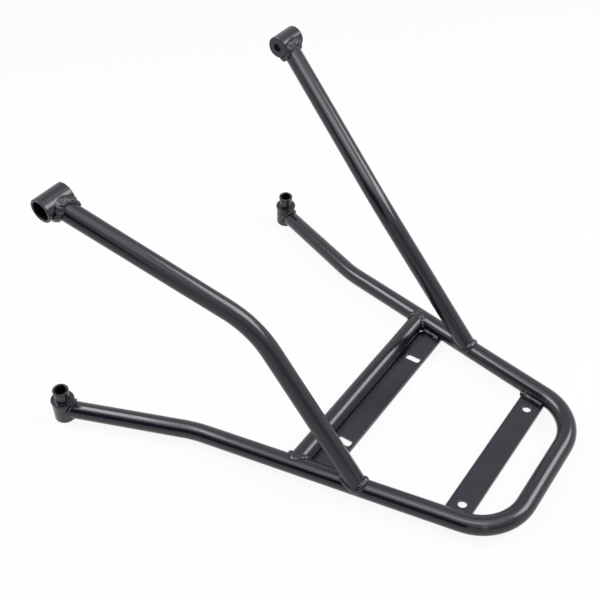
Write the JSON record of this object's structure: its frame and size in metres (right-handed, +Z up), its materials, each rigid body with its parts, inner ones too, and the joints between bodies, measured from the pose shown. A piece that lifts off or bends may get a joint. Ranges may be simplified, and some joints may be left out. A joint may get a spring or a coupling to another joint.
{
  "type": "scooter rear rack",
  "caption": "Welded tubular rear rack for a scooter: a hoop with legs, two raised stays, a cross tube, a slotted plate and a drilled strap.",
  "frame": {"origin": "on the bench under the middle of the rack's bounding box", "axes": "+X towards the rear bar, +Y towards the left side, +Z up from the bench with the platform lying down"},
  "size_m": [0.4825, 0.42, 0.2998],
  "materials": {
    "coated_steel": "semi-gloss black powder coat on steel tube and plate",
    "coated_weld": "the same black coat over rippled weld beads"
  },
  "bodies": {
    "root": {"hoop_tube": "coated_steel", "cross_tube": "coated_steel", "slotted_plate": "coated_steel", "rear_strap": "coated_steel", "left_stay": "coated_steel", "right_stay": "coated_steel", "left_sleeve": "coated_steel", "right_sleeve": "coated_steel", "left_leg_boss": "coated_steel", "right_leg_boss": "coated_steel", "left_stay_foot_weld": "coated_weld", "right_stay_foot_weld": "coated_weld", "left_sleeve_weld": "coated_weld", "right_sleeve_weld": "coated_weld", "left_boss_weld": "coated_weld", "right_boss_weld": "coated_weld", "left_cross_tube_weld": "coated_weld", "right_cross_tube_weld": "coated_weld", "left_slotted_plate_weld": "coated_weld", "right_slotted_plate_weld": "coated_weld", "left_rear_strap_weld": "coated_weld", "right_rear_strap_weld": "coated_weld"}
  },
  "joints": []
}
